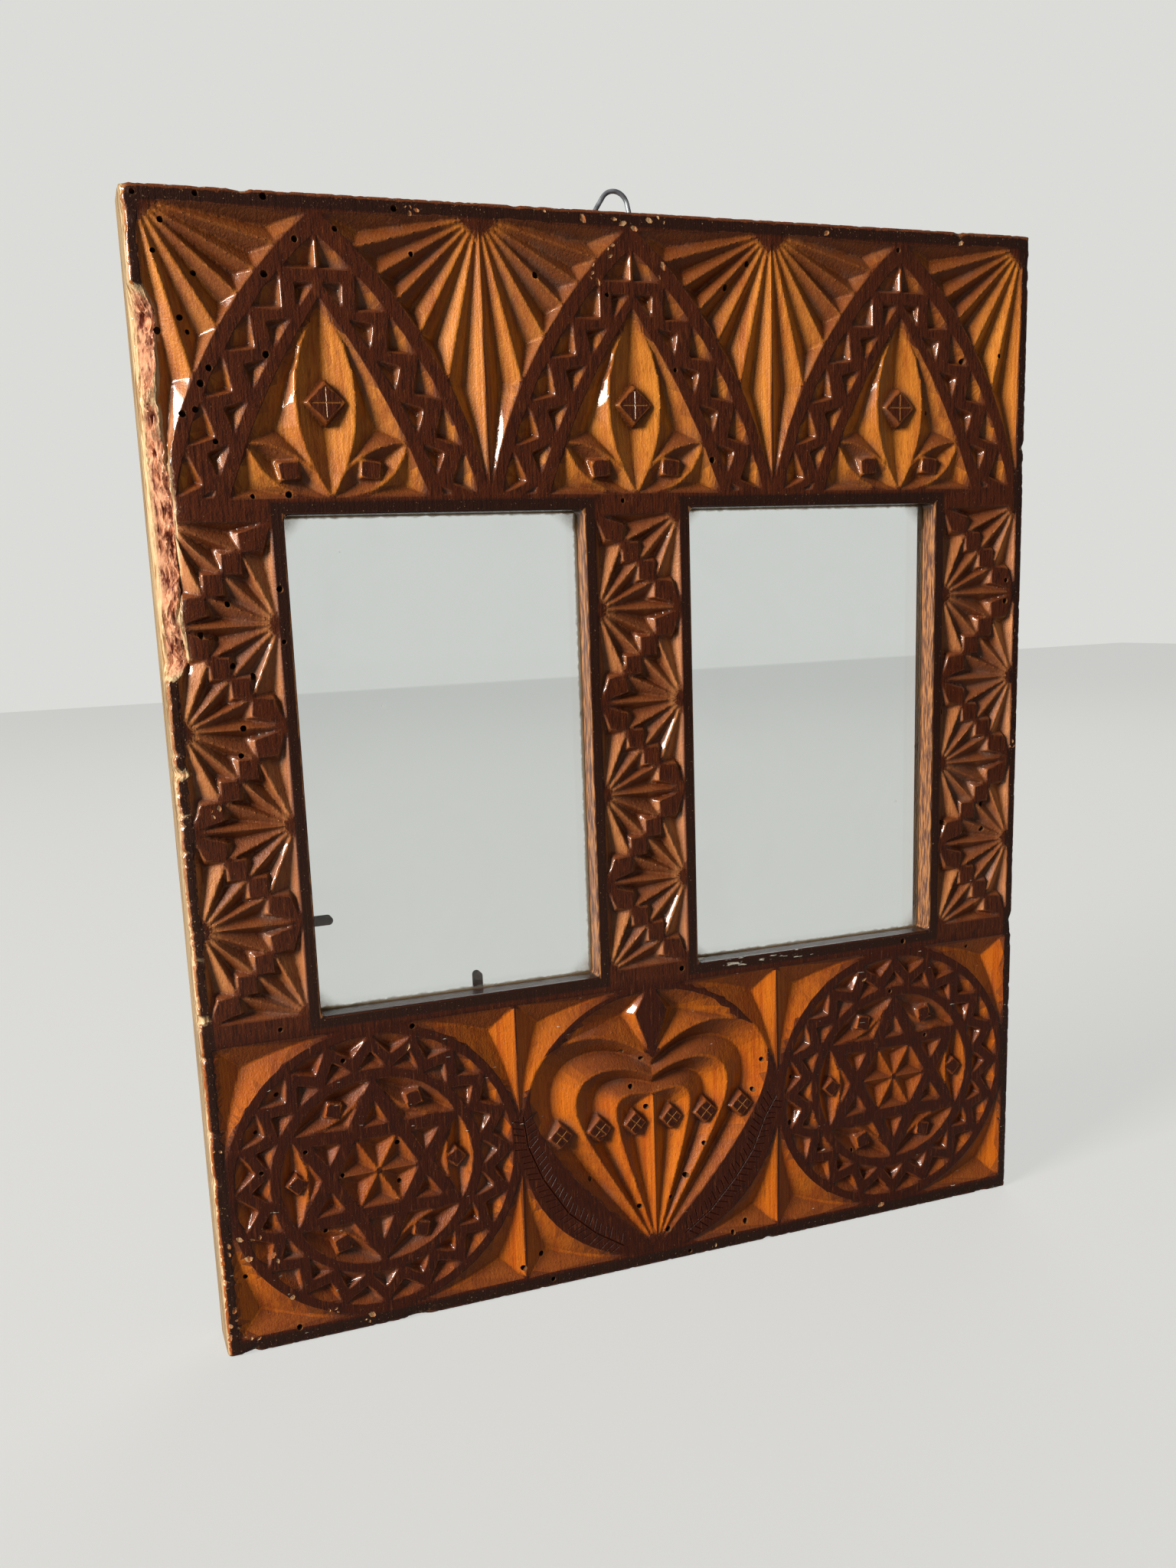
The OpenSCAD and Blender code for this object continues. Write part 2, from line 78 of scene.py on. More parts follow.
def addCoats(tree, value, colour, coats):
    # a coat has a name, what is below it, its colour, the value that it follows, from where to where, and its strength
    for name, below, above, follows, ends, strength in coats:
        amount = value[follows]
        if ends:
            rising = {"Value": amount, "From Min": ends[0], "From Max": ends[1]}
            amount = addNode(tree, "MapRange", rising, interpolation_type="SMOOTHSTEP")
        if strength != 1.0:
            amount = addNode(tree, "Math", {0: amount, 1: strength}, operation="MULTIPLY")
        colour[name] = addNode(tree, "Mix", {0: amount, 6: colour[below], 7: colour[above]}, 2, data_type="RGBA")


def finish(tree, shader, linked=None, **fixed):
    # sockets that other nodes feed, and those with one value all over
    for name, source in (linked or {}).items():
        tree.links.new(source, shader.inputs[name])
    for name, value in fixed.items():
        shader.inputs[name.replace("_", " ")].default_value = value


def makeObject(name, mesh, *materials):
    item = bpy.data.objects.new(name, mesh)
    bpy.context.scene.collection.objects.link(item)
    for material in materials:
        mesh.materials.append(material)
    return item


def meshFrom(name, bm):
    mesh = bpy.data.meshes.new(name)
    bm.to_mesh(mesh)
    bm.free()
    return mesh


def settle(item):
    # keeps what the modifiers make
    graph = bpy.context.evaluated_depsgraph_get()
    graph.update()
    mesh = bpy.data.meshes.new_from_object(item.evaluated_get(graph))
    item.modifiers.clear()
    item.data = mesh


def readPoints(mesh, what="co"):
    flat = np.zeros(len(mesh.vertices) * 3, np.float32)
    mesh.vertices.foreach_get(what, flat)
    return flat.reshape(-1, 3).astype(float)


def writeMark(mesh, name, values):
    # a number from 0 to 1 on each face
    mark = mesh.attributes.new(name, "FLOAT", "FACE")
    mark.data.foreach_set("value", np.clip(values, 0, 1).astype(np.float32))


def rise(values, low, high):
    # 0 below low, 1 above high
    return np.clip((values - low) / (high - low), 0, 1)


# Camera where the photo was taken from, a little to the left of the plank and above its middle
cameraView = {
    "place": (-153.26, -349.44, 199.88),
    "turn": 19.29,
    "tilt": -10.89,
    "roll": -2.45,
    "focalPixels": 1726.4,
    "middle": (700, 1120),
    "picture": (1536, 2048),
    "filmHeight": 36,
}


def makeCamera():
    view = cameraView
    wide, high = view["picture"]
    data = bpy.data.cameras.new("camera")
    data.sensor_fit = "VERTICAL"
    data.sensor_height = view["filmHeight"]
    data.lens = view["focalPixels"] / high * view["filmHeight"]
    data.shift_x = (wide / 2 - view["middle"][0]) / high
    data.shift_y = (view["middle"][1] - high / 2) / high
    data.clip_start = 0.01
    camera = bpy.data.objects.new("camera", data)
    bpy.context.scene.collection.objects.link(camera)
    turn = Matrix.Rotation(math.radians(-view["turn"]), 4, "Z")
    tilt = Matrix.Rotation(math.radians(90 + view["tilt"]), 4, "X")
    roll = Matrix.Rotation(math.radians(view["roll"]), 4, "Z")
    camera.matrix_world = Matrix.Translation(Vector(view["place"]) * mm) @ turn @ tilt @ roll
    bpy.context.scene.camera = camera


makeCamera()
print("camera")

# Plank: the carved solid with worn edges, and the worm holes and finest knife cuts added. All sizes are in mm
plank = {
    "voxel": 0.42,
    "smoothing": 1,
    "rounding": 3,  # passes that take the sharpness off the crests
    "triangles": 170000,
    "front": -8.0,
    "back": 8.0,
    "side": 129.0,
    "top": 300.0,
    "sight": (56.2, 40.4, 158.6, 65.4),  # middle and half width, then middle and half height of an opening
    "roundel": (84.0, 46.6, 37.5, 0.35),  # middle, height, radius and how much more glaze lies in it
    "flatDepth": (0.1, 0.32),  # how deep below the face a point is still uncut, and surely cut
    "flatTurn": (0.9, 0.98),  # how squarely an uncut point looks forwards
    "flatStep": 0.04,  # how far an uncut point may stand out from its neighbours
    "skin": 0.35,  # what counts as the side itself
    "glazeRounds": 36,  # how far the glaze runs from the flats into narrow pits
    "glazeShare": (0.12, 0.44),
    "grainRounds": 5,
    "lip": 5.5,  # end grain is stained as deep as this
    "behind": (6.2, 6.8),  # where the bare back of the wood begins
    "sharpAngle": 40,
    "seed": 11,
}

# Wear of the four front edges: rubbed all along, nicked in places, and gnawed by worms at the left
frontEdge = {
    "reach": 2.6,
    "leftReach": 4.2,
    "cutOff": 2.2,  # reaches from the edge beyond which nothing is worn
    "backwards": 0.7,
    "rubbed": 0.12,
    "nicks": (9.0, 0.32, 1.2),  # size of the pattern, the level where it cuts and how deep
    "grit": (1.8, 0.25),
    "gnawed": (184, 278, 3.6),  # from, to and how deep
    "gnawedEnds": 5,
    "broken": (17.0, 0.75, 0.7),  # size of the pattern, the share that is always gone and how it varies
    "galleries": (0.9, 0.22, 2.2),  # pattern across and along the grain, and depth
    "bites": (5.0, 0.18, 2.2, 170, 0.4),  # as nicks, and the height above which they are shallower
    "bare": (0.5, 0.9),  # wear at which the varnish goes, and at which the wood is eaten
    "eaten": (1.0, 2.0),
}


def noiseAt(x, y, z, size):
    return noise.fractal(Vector((x, y, z)) / size, 1.0, 2.0, 3)


def edgeWear(x, y, z, side):
    # how far the wood is gone at a front edge, of which 0 is the left one
    size, level, deep = frontEdge["nicks"]
    gritSize, gritDeep = frontEdge["grit"]
    wear = frontEdge["rubbed"] + deep * max(0.0, noiseAt(x, 31.0 * side, z, size) - level)
    wear += gritDeep * max(0.0, noiseAt(x, y, z, gritSize))
    if side > 0:
        return wear
    low, high, deep = frontEdge["gnawed"]
    ends = frontEdge["gnawedEnds"]
    span = max(0.0, min(1.0, (z - low) / ends)) * max(0.0, min(1.0, (high - z) / ends))
    size, always, varies = frontEdge["broken"]
    broken = max(0.0, always + varies * noiseAt(5.0, 9.0, z, size))
    across, along, galleryDeep = frontEdge["galleries"]
    galleries = abs(noise.noise(Vector((x * across, y * across, z * along)))) * galleryDeep
    size, level, biteDeep, height, above = frontEdge["bites"]
    bites = biteDeep * max(0.0, noiseAt(3.0, 2.0, z, size) - level) * (1 if z < height else above)
    return wear + (span * (deep * broken + galleries) + bites)


def wearEdges(points):
    # moves the points near the front edges inwards, and returns how far
    gone = np.zeros(len(points))
    away = (points[:, 0] + plank["side"], plank["side"] - points[:, 0], plank["top"] - points[:, 2], points[:, 2])
    inward = ((1, 0), (-1, 0), (0, -1), (0, 1))
    depth = points[:, 1] - plank["front"]
    start = points.copy()
    for side in range(4):
        reach = frontEdge["reach"] if side else frontEdge["leftReach"]
        furthest = reach * frontEdge["cutOff"]
        for i in np.nonzero((away[side] < furthest) & (depth < furthest))[0]:
            x, y, z = start[i]
            wear = edgeWear(x, y, z, side) * math.exp(-(away[side][i] ** 2 + depth[i] ** 2) / reach ** 2)
            points[i, 0] += inward[side][0] * wear
            points[i, 1] += wear * frontEdge["backwards"]
            points[i, 2] += inward[side][1] * wear
            gone[i] = max(gone[i], wear)
    return gone


def spread(mesh, values, rounds):
    # averages the values of joined points, round after round
    edges = np.zeros(len(mesh.edges) * 2, np.int32)
    mesh.edges.foreach_get("vertices", edges)
    first, second = edges.reshape(-1, 2).T
    count = np.bincount(edges, minlength=len(values)).astype(float)
    for _ in range(rounds):
        total = np.bincount(first, weights=values[second], minlength=len(values))
        total += np.bincount(second, weights=values[first], minlength=len(values))
        values = total / count
    return values


def readMarks(mesh):
    # where the wood is flat, cut, hollow or raw, for its finish
    points = readPoints(mesh) / mm
    normals = readPoints(mesh, "normal")
    around = np.stack([spread(mesh, points[:, axis], 2) for axis in range(3)], 1)
    proud = ((points - around) * normals).sum(1)
    x, depth, z = points[:, 0], points[:, 1] - plank["front"], points[:, 2]
    toRim = np.minimum(plank["side"] - np.abs(x), np.minimum(plank["top"] - z, z))
    inside = toRim > plank["skin"]
    uncut = (1 - rise(depth, *plank["flatDepth"])) * rise(-normals[:, 1], *plank["flatTurn"])
    uncut = uncut * (proud < plank["flatStep"]) * inside
    middle, height, radius, shade = plank["roundel"]
    shaded = shade * (np.hypot(np.abs(x) - middle, z - height) < radius)
    run = rise(spread(mesh, uncut, plank["glazeRounds"]), *plank["glazeShare"])
    return points, {
        "uncut": spread(mesh, uncut, 2),
        "glazed": np.maximum(run, shaded),
        "endGrain": spread(mesh, np.abs(normals[:, 2]) * (depth < plank["lip"]), plank["grainRounds"]),
        "rawSide": (x < -plank["side"] + plank["skin"]) * 1.0,
        "unfinished": rise(depth, *plank["behind"]) * inside,
    }


# Material slots that tell what cut a face, until its mark is written
cutSlots = {"knife": 1, "worm": 2, "chipped": 3, "fern": 4}


def findMarks(item, points, marks):
    tree = kdtree.KDTree(len(points))
    for i, point in enumerate(points):
        tree.insert(point, i)
    tree.balance()
    # a mark for each face, because a wide flat face has points only at its rim
    index = np.array([tree.find(face.center / mm)[1] for face in item.data.polygons])
    for name, values in marks.items():
        writeMark(item.data, name, values[index])
    slots = np.zeros(len(item.data.polygons), np.int32)
    item.data.polygons.foreach_get("material_index", slots)
    for name, slot in cutSlots.items():
        writeMark(item.data, name, slots == slot)
    item.data.polygons.foreach_set("material_index", np.zeros(len(slots), np.int32))


def makePlank(wood):
    bm = bmesh.new()
    bm.from_mesh(nodes["carved_board"].data)
    bmesh.ops.remove_doubles(bm, verts=bm.verts, dist=0.5e-6)
    item = makeObject("carvedPlank", meshFrom("carvedPlank", bm))
    remesh = item.modifiers.new("remesh", "REMESH")
    remesh.mode = "VOXEL"
    remesh.voxel_size = plank["voxel"] * mm
    smooth = item.modifiers.new("smooth", "SMOOTH")
    smooth.factor = 0.5
    smooth.iterations = plank["smoothing"]
    wrap = item.modifiers.new("wrap", "SHRINKWRAP")
    wrap.target = nodes["carved_board"]
    rounded = item.modifiers.new("rounded", "SMOOTH")
    rounded.factor = 0.5
    rounded.iterations = plank["rounding"]
    settle(item)
    mesh = item.data
    points, marks = readMarks(mesh)
    print("fine mesh", len(points))
    gone = wearEdges(points)
    marks["bare"] = rise(gone, *frontEdge["bare"])
    marks["gnawed"] = rise(gone, *frontEdge["eaten"])
    mesh.vertices.foreach_set("co", (points * mm).astype(np.float32).ravel())
    mesh.update()
    thin = item.modifiers.new("thin", "DECIMATE")
    thin.ratio = plank["triangles"] / (2 * len(mesh.polygons))
    settle(item)
    item.data.materials.clear()
    for _ in range(len(cutSlots) + 1):
        item.data.materials.append(wood)
    cutFine(item, wood)
    findMarks(item, points, marks)
    while len(item.data.materials) > 1:
        item.data.materials.pop()
    bm = bmesh.new()
    bm.from_mesh(item.data)
    for face in bm.faces:
        face.smooth = True
    for edge in bm.edges:
        edge.smooth = edge.calc_face_angle(0) < math.radians(plank["sharpAngle"])
    bm.to_mesh(item.data)
    bm.free()
    weighted = item.modifiers.new("weighted", "WEIGHTED_NORMAL")
    weighted.keep_sharp = True
    weighted.weight = 80
    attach(item, "root")
    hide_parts("carved_board")
    return item


# Worm holes seen on the face, as x and z, and how many more there are elsewhere
wormHoles = {
    "seen": [
        (-126, 298), (-112, 298), (-107, 299), (-96, 298), (-93, 299), (-64, 297), (-62, 299), (-120, 292),
        (-123, 285), (-114, 281), (-97, 281), (-89, 289), (-79, 292), (-60, 287), (-118, 270), (-116, 267),
        (-123, 267), (-112, 259), (-114, 255), (-119, 248), (-116, 249), (-112, 242), (-98, 262), (-104, 229),
        (-95, 229), (-108, 91), (-72, 87), (-92, 80), (-110, 73), (-116, 63), (-116, 52), (-104, 56), (-94, 47),
        (-78, 54), (-78, 42), (-43, 8), (-100, 32), (-123, 23), (-9, 69), (-3, 66), (-7, 58), (37, 60), (-2, 51),
        (17, 36), (-20, 31), (-5, 20), (4, 11), (26, 5), (31, 7), (-37, 10), (-34, 3), (11, 2), (34, 50),
        (-27, 283), (-7, 279), (35, 288), (28, 282), (-4, 226), (23, 237), (-112, 203), (-115, 195), (-119, 195),
        (-112, 187), (-107, 184), (-111, 172), (-112, 165), (-99, 206), (-99, 193), (-109, 5),
    ],
    "jitter": 0.3,
    "more": 22,
    "moreWhere": (0, 127, 3, 297),  # from and to in x, then in z
    "opening": (14, 99, 91, 226),  # no wood to bore here
    "onBack": 26,
    "backWhere": (104, 125, 6, 294),  # left and right of the openings
    "leans": (12, 14),  # degrees up or down, and to a side
    "radius": (0.6, 0.95),
    "depth": (2.5, 5.0),
    "apart": 6,  # square of the least distance between two
    "highest": 298.5,
}

# Places where the varnish and some wood are knocked off, as x and z and how wide
chips = {
    "places": [
        (-26, 300, 1.5), (-13, 298, 1.5), (-3, 298, 3), (8, 299, 2.5), (-11, 285, 1.8), (-5, 290, 2),
        (9, 286, 2.5), (-10, 282, 1), (1, 295, 1.5), (-120, 151, 1.6), (-73, 82, 0.8), (73, 80, 0.8),
        (-126, 120, 1.5), (-127, 60, 1.2), (-60, 298, 1.5), (60, 298, 1.2), (104, 298, 1.5),
        (-90, 3, 1.2), (-126, 9, 3), (-124, 20, 3), (-120, 4, 2), (-115, 27, 1.5),
        (-111, 13, 2), (20, 2, 1.2), (80, 3, 1), (127, 150, 1), (127, 240, 1.2),
        (-125, 33, 2.5), (-118, 34, 2), (-125, 15, 2.5), (-100, 8, 2), (-122, 28, 2),
    ],
    "radius": (0.5, 1.5),
    "depth": (0.2, 0.4),
    "narrow": (0.35, 0.7),
    "each": 11,
    "apart": 0.05,
    "fromRim": 0.9,
}

# Knife marks finer than the chips: fern fronds beside the heart, and crosses on the studs
fineCuts = {
    "width": 0.5,
    "depth": 0.34,
    "heartMiddle": 46.6,
    "ferns": [
        [(-41, 8.5), (-39.8, -1.3), (-35.6, -12.1), (-28.2, -24.1), (-19.6, -32.3), (-10.7, -38.2)],
        [(41.6, 1), (37.6, -5.1), (33.2, -15.3), (27, -23.4), (18.4, -32.3), (9.6, -38.2)],
    ],
    "ribGap": 0.1,
    "tickFoot": 0.5,  # from the middle of the rib
    "tickOut": 0.92,
    "tickStep": 2.1,
    "tickLength": 3.4,
    "tickVaries": (0.8, 1.15),
    "tickLeans": (0.3, 0.5),
    "tickShallower": 0.05,
    "steep": 1.6,  # how much deeper than wide a groove is
    "heartStuds": (-29.6, -17.3, -5.9, 5.9, 17.3, 29.6),
    "heartStudReach": 1.7,
    "archStuds": (-84, 0, 84),
    "archStudHeight": 251.1,
    "archStudReach": 3.6,
}


def addGroove(bm, start, end, shallower=0.0):
    # a square bar turned on its edge and sunk in the face
    half = fineCuts["width"] / 2
    steep = fineCuts["steep"]
    low = Vector((start[0], plank["front"], start[1]))
    high = Vector((end[0], plank["front"], end[1]))
    along = high - low
    turn = along.to_track_quat("X", "Y").to_matrix().to_4x4()
    shape = Matrix.Diagonal((along.length, half * math.sqrt(2), half * math.sqrt(2) * steep, 1))
    sink = Vector((0, fineCuts["depth"] - half * steep - shallower, 0))
    place = Matrix.Translation((low + high) / 2 + sink) @ turn @ Matrix.Rotation(math.radians(45), 4, "X")
    bmesh.ops.create_cube(bm, size=1, matrix=Matrix.Scale(mm, 4) @ place @ shape)


def walkAlong(line, step):
    # points a step apart on a broken line, with the direction there
    points = [Vector(p) for p in line]
    left = step
    for a, b in zip(points, points[1:]):
        way = (b - a).normalized()
        length = (b - a).length
        while left <= length:
            yield a + way * left, way
            left += step
        left -= length


def addFern(ribs, ticks, line):
    # a rib along the line, with ticks that lean back from it on both sides
    middle = Vector((0, fineCuts["heartMiddle"]))
    points = [Vector(p) for p in line]
    for a, b in zip(points, points[1:]):
        way = (b - a).normalized()
        addGroove(ribs, a + middle + way * fineCuts["ribGap"], b + middle - way * fineCuts["ribGap"])
    for point, way in walkAlong(line, fineCuts["tickStep"]):
        for side in (-1, 1):
            out = Vector((-way.y, way.x)) * side
            lean = (out * fineCuts["tickOut"] - way * random.uniform(*fineCuts["tickLeans"])).normalized()
            foot = point + middle + lean * fineCuts["tickFoot"]
            tip = foot + lean * fineCuts["tickLength"] * random.uniform(*fineCuts["tickVaries"])
            addGroove(ticks, foot, tip, fineCuts["tickShallower"])


def wormPlaces():
    # x, z and the side of each hole: those seen, more in the right half of the face, and those of the back
    jitter = wormHoles["jitter"]
    for x, z in wormHoles["seen"]:
        yield x + random.uniform(-jitter, jitter), z + random.uniform(-jitter, jitter), -1
    made = 0
    left, right, low, high = wormHoles["opening"]
    while made < wormHoles["more"]:
        x, z = random.uniform(*wormHoles["moreWhere"][:2]), random.uniform(*wormHoles["moreWhere"][2:])
        if not (left < x < right and low < z < high):
            made += 1
            yield x, z, -1
    for _ in range(wormHoles["onBack"]):
        x = random.choice((-1, 1)) * random.uniform(*wormHoles["backWhere"][:2])
        yield x, random.uniform(*wormHoles["backWhere"][2:]), 1


def addWorms(bm):
    kept = []
    for x, z, side in wormPlaces():
        near = any((x - a) ** 2 + (z - b) ** 2 < wormHoles["apart"] and side == s for a, b, s in kept)
        if z > wormHoles["highest"] or near:
            continue
        kept.append((x, z, side))
        radius = random.uniform(*wormHoles["radius"])
        depth = random.uniform(*wormHoles["depth"])
        up, across = wormHoles["leans"]
        tilt, turn = random.uniform(-up, up), random.uniform(-across, across)
        lean = Euler((math.radians(90 + tilt), 0, math.radians(turn)))
        place = Matrix.Translation((x, side * plank["back"], z)) @ lean.to_matrix().to_4x4()
        bmesh.ops.create_cone(bm, cap_ends=True, segments=12, radius1=radius, radius2=radius, depth=depth * 2,
                              matrix=Matrix.Scale(mm, 4) @ place)


def addChips(bm):
    kept = []
    for x, z, wide in chips["places"]:
        for _ in range(chips["each"]):
            radius = random.uniform(*chips["radius"])
            a, b = x + random.gauss(0, wide / 2), z + random.gauss(0, wide / 2)
            near = any(math.hypot(a - c, b - d) < radius + r + chips["apart"] for c, d, r in kept)
            if near or not chips["fromRim"] < b < plank["top"] - chips["fromRim"]:
                continue
            kept.append((a, b, radius))
            depth = random.uniform(*chips["depth"])
            shape = Matrix.Diagonal((radius, depth, radius * random.uniform(*chips["narrow"]), 1))
            place = Matrix.Translation((a, plank["front"], b)) @ Matrix.Rotation(random.uniform(0, math.pi), 4, "Y")
            bmesh.ops.create_icosphere(bm, subdivisions=1, radius=1, matrix=Matrix.Scale(mm, 4) @ place @ shape)


def cutAway(item, bm, name, kind, wood):
    # takes the cutters out of the plank, and leaves their slot on the faces that they cut
    bmesh.ops.recalc_face_normals(bm, faces=bm.faces)
    for face in bm.faces:
        if face.material_index == 0:
            face.material_index = cutSlots[kind]
    cutter = makeObject(name, meshFrom(name, bm), *[wood] * (len(cutSlots) + 1))
    cut = item.modifiers.new(name, "BOOLEAN")
    cut.operation = "DIFFERENCE"
    cut.solver = "MANIFOLD"
    cut.object = cutter
    settle(item)
    bpy.data.objects.remove(cutter)


def cutFine(item, wood):
    cut = fineCuts
    random.seed(plank["seed"])
    ribs = bmesh.new()
    ticks = bmesh.new()
    for line in cut["ferns"]:
        addFern(ribs, ticks, line)
    for bm in (ribs, ticks):
        for face in bm.faces:
            face.material_index = cutSlots["fern"]
    for x in cut["heartStuds"]:
        z, reach = cut["heartMiddle"], cut["heartStudReach"]
        addGroove(ribs, (x - reach, z - reach), (x + reach, z + reach))
        addGroove(ticks, (x - reach, z + reach), (x + reach, z - reach))
    for x in cut["archStuds"]:
        z, reach = cut["archStudHeight"], cut["archStudReach"]
        addGroove(ribs, (x, z - reach), (x, z + reach))
        addGroove(ticks, (x - reach, z), (x + reach, z))
    cutAway(item, ribs, "ribs", "knife", wood)
    cutAway(item, ticks, "ticks", "knife", wood)
    worms = bmesh.new()
    addWorms(worms)
    cutAway(item, worms, "worms", "worm", wood)
    dents = bmesh.new()
    addChips(dents)
    cutAway(item, dents, "dents", "chipped", wood)
    print("fine cuts", len(item.data.polygons))


# Varnished fruitwood, chip carved by knife. A dark glaze is left on the uncut flats, long facets along the grain
# are golden, facets across it took more stain, crests are rubbed lighter and grey dust lies in the hollows.
# Dark wax and painted shade darken the creases and hollows, and the wood below the openings is redder and darker,
# partly from its varnish and partly as painted shade
woodLook = {
    "colours": {
        "cutDark": "#a04f17",
        "cutLight": "#d6862d",
        # redder and darker below the openings: partly the varnish, partly painted shade
        "sillDark": "#a44406",
        "sillLight": "#d27212",
        "barDark": "#9a562f",
        "barLight": "#cb864e",
        "pooled": "#5a2a14",
        "endGrain": "#743b1c",
        "pore": "#47210d",
        # dark wax with painted shade along the creases, also used for the fern cuts
        "valley": "#340d02",
        # dark wax with painted shade, laid by occlusion in the hollows
        "hollowWaxAndShade": "#4a1703",
        "dust": "#8a7f73",
        "glaze": "#52220a",
        # darker glaze below the openings, partly painted shade
        "sillGlaze": "#431603",
        "glazeDark": "#2d1006",
        "glazeLight": "#7a3d1a",
        "border": "#2a130a",
        "crest": "#c07c3c",
        "chip": "#c9a377",
        "side": "#4e2c1b",
        "sideWorn": "#96633a",
        "reveal": "#4d2c20",
        "revealWorn": "#a8703f",
        "paint": "#d8d0bf",
        "gnawedDark": "#62281a",
        "gnawedLight": "#d89c78",
        "rawDark": "#8a6238",
        "rawLight": "#dcc094",
        "backDark": "#523723",
        "backLight": "#8d6946",
        "hole": "#6a4326",
    },
    # size of each pattern across and along the grain in mm, and its detail. Pores are drawn coarser than real ones
    "patterns": {
        "grain": (0.8, 24.0, 4.0),
        "figure": (6.0, 120.0, 2.0),
        "pores": (0.34, 3.2, 1.0),
        "mottle": (15.0, 19.0, 4.0),
        "nicks": (2.2, 3.5, 2.0),
        "scuff": (0.6, 5.0, 3.0),
        "speck": (0.5, 0.6, 2.0),
        "fleck": (5.0, 0.7, 2.0),
    },
    # how far it looks for other wood in mm, whether inwards, and how open it is where the effect begins and is full
    "hollows": {
        # hollow lays grey dust, and with valley it also lays dark wax and painted shade in the cuts
        "hollow": (3.0, False, 0.95, 0.5),
        "valley": (0.9, False, 0.8, 0.45),
        "crest": (0.6, True, 0.85, 0.5),
    },
    "strip": (3.6, 2.9),  # where the dark strip round the openings ends, and where it is full
    "sill": (88.0, 91.0, 95.0),  # where the redder, darker wood begins and ends, partly its varnish and partly painted shade, and the top of the paint flecks
    "bars": (226.0, 229.0),  # where the browner varnish of the upright bars ends
    "painted": (12, 15, 54, 58),  # where the paint flecks begin and end across the right opening
    "rough": (0.42, 0.85),  # under the varnish, and bare
    "coat": 0.85,
    "relief": 0.3,
}


